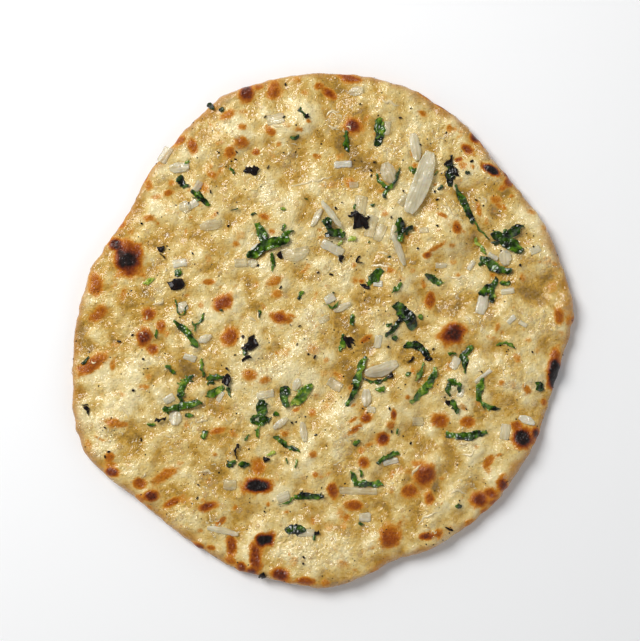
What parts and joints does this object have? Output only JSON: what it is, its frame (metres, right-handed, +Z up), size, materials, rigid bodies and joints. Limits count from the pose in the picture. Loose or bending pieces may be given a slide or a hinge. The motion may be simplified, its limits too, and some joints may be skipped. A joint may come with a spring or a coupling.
{
  "type": "naan bread",
  "caption": "Round hand-shaped naan with toasted blisters and a rounded rim, brushed with ghee and topped with coriander leaves and onion slices, for a table or kitchen scene",
  "frame": {"origin": "Under the middle of the bread's width and length, on the surface that the bread lies on", "axes": "+Z points up out of the topped side, +Y runs along the bread's length, and +X across its width, to the right when the bread is seen from above with +Y away from the viewer"},
  "size_m": [0.232, 0.238, 0.0117],
  "materials": {
    "baked_crust": "baked wheat crust, creamy gold with toasted brown and black blisters, shiny where ghee was brushed on",
    "soft_onion": "half see-through cooked onion, wet",
    "coriander_leaf": "wilted green leaf with a wet sheen",
    "charred_leaf": "leaf burnt black in the oven, dull and crumpled"
  },
  "bodies": {
    "root": {"naan_bread": "baked_crust", "charred_leaf_01": "charred_leaf", "charred_leaf_02": "charred_leaf", "charred_leaf_03": "charred_leaf", "charred_leaf_04": "charred_leaf", "charred_leaf_05": "charred_leaf", "charred_leaf_06": "charred_leaf", "coriander_leaf_01": "coriander_leaf", "coriander_leaf_02": "coriander_leaf", "coriander_leaf_03": "coriander_leaf", "coriander_leaf_04": "coriander_leaf", "coriander_leaf_05": "coriander_leaf", "coriander_leaf_06": "coriander_leaf", "coriander_leaf_07": "coriander_leaf", "coriander_leaf_08": "coriander_leaf", "coriander_leaf_09": "coriander_leaf", "coriander_leaf_10": "coriander_leaf", "coriander_leaf_11": "coriander_leaf", "coriander_leaf_12": "coriander_leaf", "coriander_leaf_13": "coriander_leaf", "coriander_leaf_14": "coriander_leaf", "coriander_leaf_15": "coriander_leaf", "coriander_leaf_16": "coriander_leaf", "coriander_leaf_17": "coriander_leaf", "coriander_leaf_18": "coriander_leaf", "coriander_leaf_19": "coriander_leaf", "coriander_leaf_20": "coriander_leaf", "coriander_leaf_21": "coriander_leaf", "coriander_leaf_22": "coriander_leaf", "coriander_leaf_23": "coriander_leaf", "coriander_leaf_24": "coriander_leaf", "coriander_leaf_25": "coriander_leaf", "coriander_leaf_26": "coriander_leaf", "coriander_leaf_27": "coriander_leaf", "coriander_leaf_28": "coriander_leaf", "coriander_leaf_29": "coriander_leaf", "coriander_leaf_30": "coriander_leaf", "onion_slice_01": "soft_onion", "onion_slice_02": "soft_onion", "onion_slice_03": "soft_onion", "onion_slice_04": "soft_onion", "onion_slice_05": "soft_onion", "onion_slice_06": "soft_onion", "onion_slice_07": "soft_onion", "onion_slice_08": "soft_onion", "onion_slice_09": "soft_onion", "onion_slice_10": "soft_onion", "onion_slice_11": "soft_onion", "onion_slice_12": "soft_onion", "onion_slice_13": "soft_onion", "onion_slice_14": "soft_onion", "onion_slice_15": "soft_onion", "onion_slice_16": "soft_onion", "onion_slice_17": "soft_onion", "onion_slice_18": "soft_onion", "onion_slice_19": "soft_onion", "onion_slice_20": "soft_onion", "onion_slice_21": "soft_onion", "onion_slice_22": "soft_onion", "onion_slice_23": "soft_onion"}
  },
  "joints": []
}
